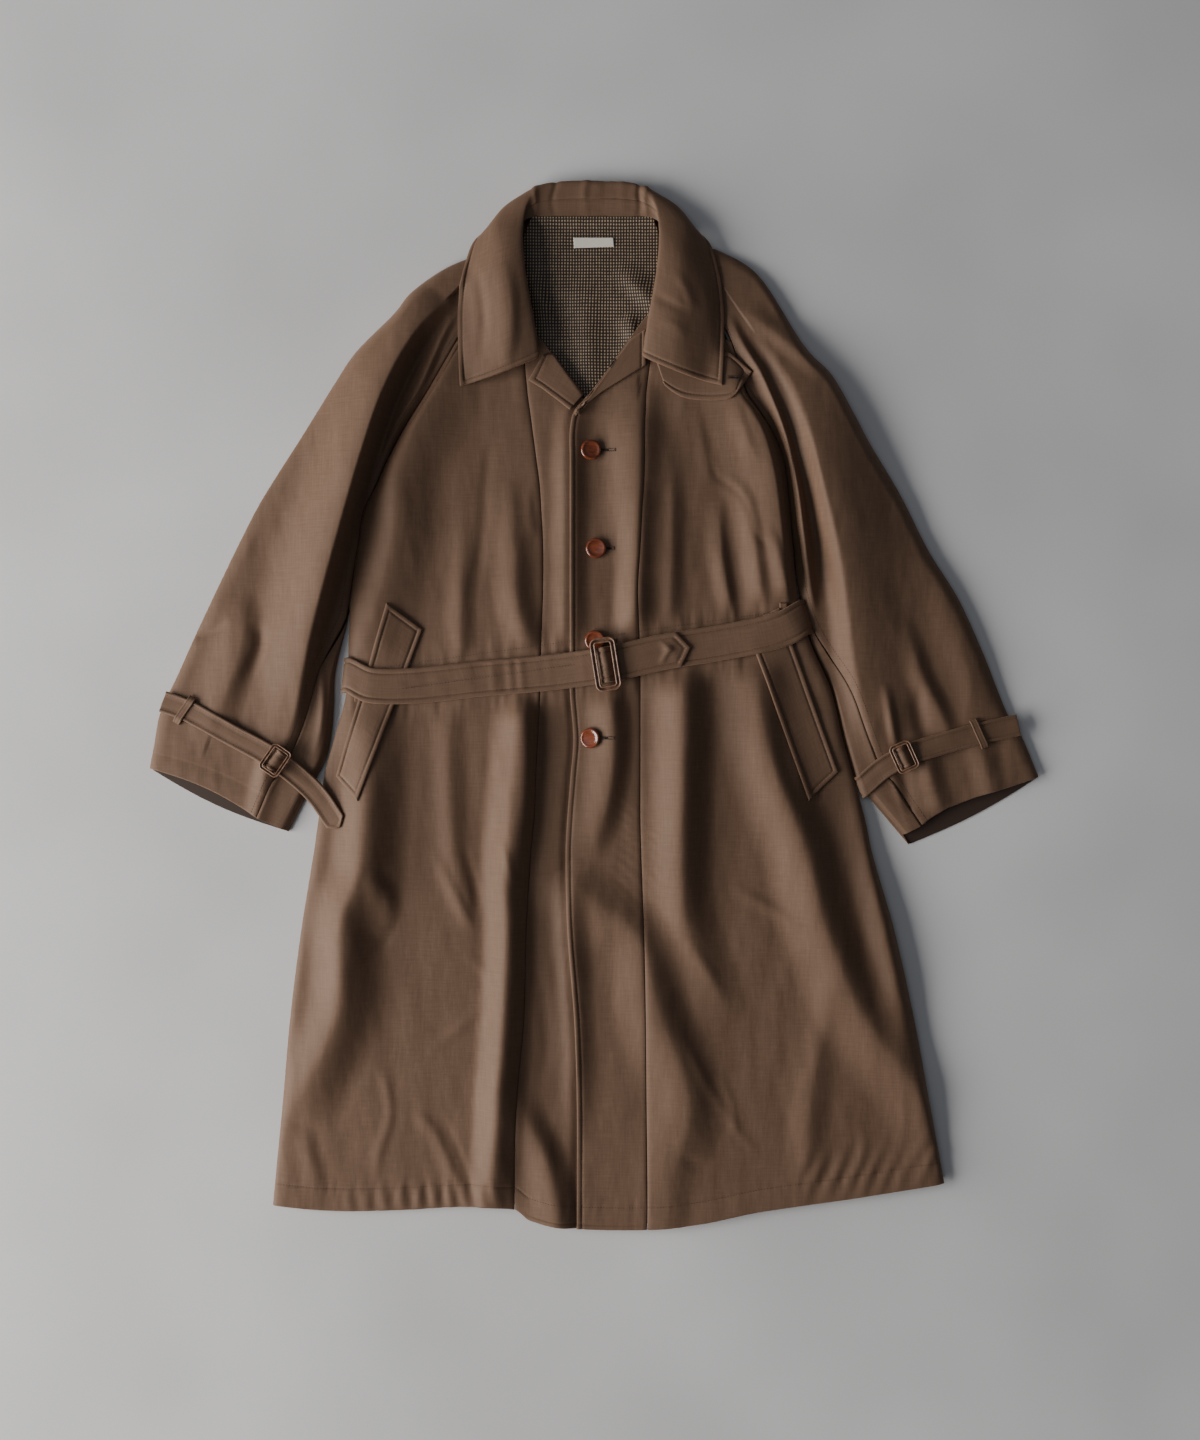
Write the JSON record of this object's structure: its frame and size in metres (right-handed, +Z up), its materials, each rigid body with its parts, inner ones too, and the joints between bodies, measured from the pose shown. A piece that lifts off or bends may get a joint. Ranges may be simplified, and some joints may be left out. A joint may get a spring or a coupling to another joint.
{
  "type": "motorcycle coat",
  "caption": "Knee-length belted raglan coat with a wide collar, front buttons, slanted pockets and sleeve straps, laid flat on its back.",
  "frame": {"origin": "on the floor, below the middle of the laid coat", "axes": "+X towards the wearer's left sleeve, +Y from the hem to the collar, +Z up from the floor"},
  "size_m": [1.026, 1.208, 0.0441],
  "materials": {
    "coat_cloth": "taupe brown wool gabardine with a soft sheen",
    "lining": "small brown and cream check, matt",
    "label": "cream woven tape, blank",
    "buckle": "leather-covered frame, semi-matt",
    "button": "polished reddish brown horn look"
  },
  "bodies": {
    "root": {"back": "coat_cloth", "front_side_right": "coat_cloth", "front_center_right": "coat_cloth", "front_center_left": "coat_cloth", "front_side_left": "coat_cloth", "sleeve_back_right": "coat_cloth", "sleeve_front_right": "coat_cloth", "sleeve_back_left": "coat_cloth", "sleeve_front_left": "coat_cloth", "pocket_welt_right": "coat_cloth", "pocket_welt_left": "coat_cloth", "lapel_right": "coat_cloth", "lapel_left": "coat_cloth", "throat_tab": "coat_cloth", "collar_stand": "coat_cloth", "collar_fall": "coat_cloth", "belt_loop_left": "coat_cloth", "belt_loop_right": "coat_cloth", "belt": "coat_cloth", "sleeve_strap_right": "coat_cloth", "sleeve_strap_left": "coat_cloth", "strap_loop_right": "coat_cloth", "strap_loop_left": "coat_cloth", "back_lining": "lining", "label": "label", "belt_buckle": "buckle", "strap_buckle_right": "buckle", "strap_buckle_left": "buckle", "button_1": "button", "button_2": "button", "button_3": "button", "button_4": "button"}
  },
  "joints": []
}
